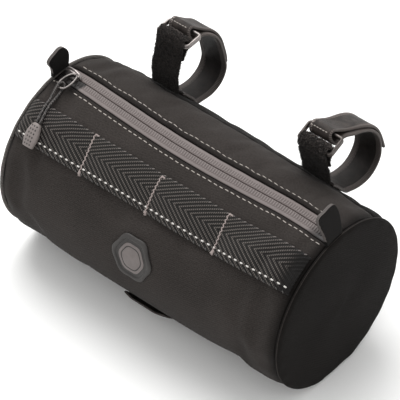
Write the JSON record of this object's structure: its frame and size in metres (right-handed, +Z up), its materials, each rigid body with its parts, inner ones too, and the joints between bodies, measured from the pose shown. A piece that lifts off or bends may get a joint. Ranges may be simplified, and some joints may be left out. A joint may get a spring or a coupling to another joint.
{
  "type": "bicycle handlebar bag",
  "caption": "Roll-shaped bicycle handlebar bag with a top zip, a row of tacked webbing on the front and two strap loops with metal rings.",
  "frame": {"origin": "middle of the flattened underside that the bag rests on", "axes": "+X along the barrel towards its right end as seen from the front, -Y towards the front, +Y towards the handlebar, +Z up"},
  "size_m": [0.2601, 0.177, 0.166],
  "materials": {
    "charcoal_fabric": "fine dark grey coated weave",
    "black_fabric": "near black plain weave",
    "zip_tape": "grey laminated coil zip tape",
    "slider_metal": "satin gunmetal",
    "cord": "thin braided cord, dark grey",
    "grip": "grey moulded grip with small dimples",
    "tab_webbing": "folded black webbing",
    "webbing": "black webbing with grey chevron threads",
    "rubber": "satin moulded rubber patch",
    "pile_strap": "black brushed pile",
    "smooth_strap": "smooth dark strap with bound edges",
    "ring_metal": "bright bare wire"
  },
  "bodies": {
    "root": {"front_panel": "charcoal_fabric", "top_panel": "charcoal_fabric", "back_panel": "black_fabric", "left_end_panel": "black_fabric", "right_end_panel": "black_fabric", "zip_tape_front": "zip_tape", "zip_tape_rear": "zip_tape", "zip_slider": "slider_metal", "zip_bail": "slider_metal", "pull_cord": "cord", "pull_end": "grip", "left_end_tab": "tab_webbing", "right_end_tab": "tab_webbing", "daisy_webbing": "webbing", "badge": "rubber", "bottom_loop": "webbing", "left_strap_front": "pile_strap", "right_strap_front": "pile_strap", "left_ring": "ring_metal", "right_ring": "ring_metal", "left_strap": "smooth_strap", "right_strap": "smooth_strap"}
  },
  "joints": []
}
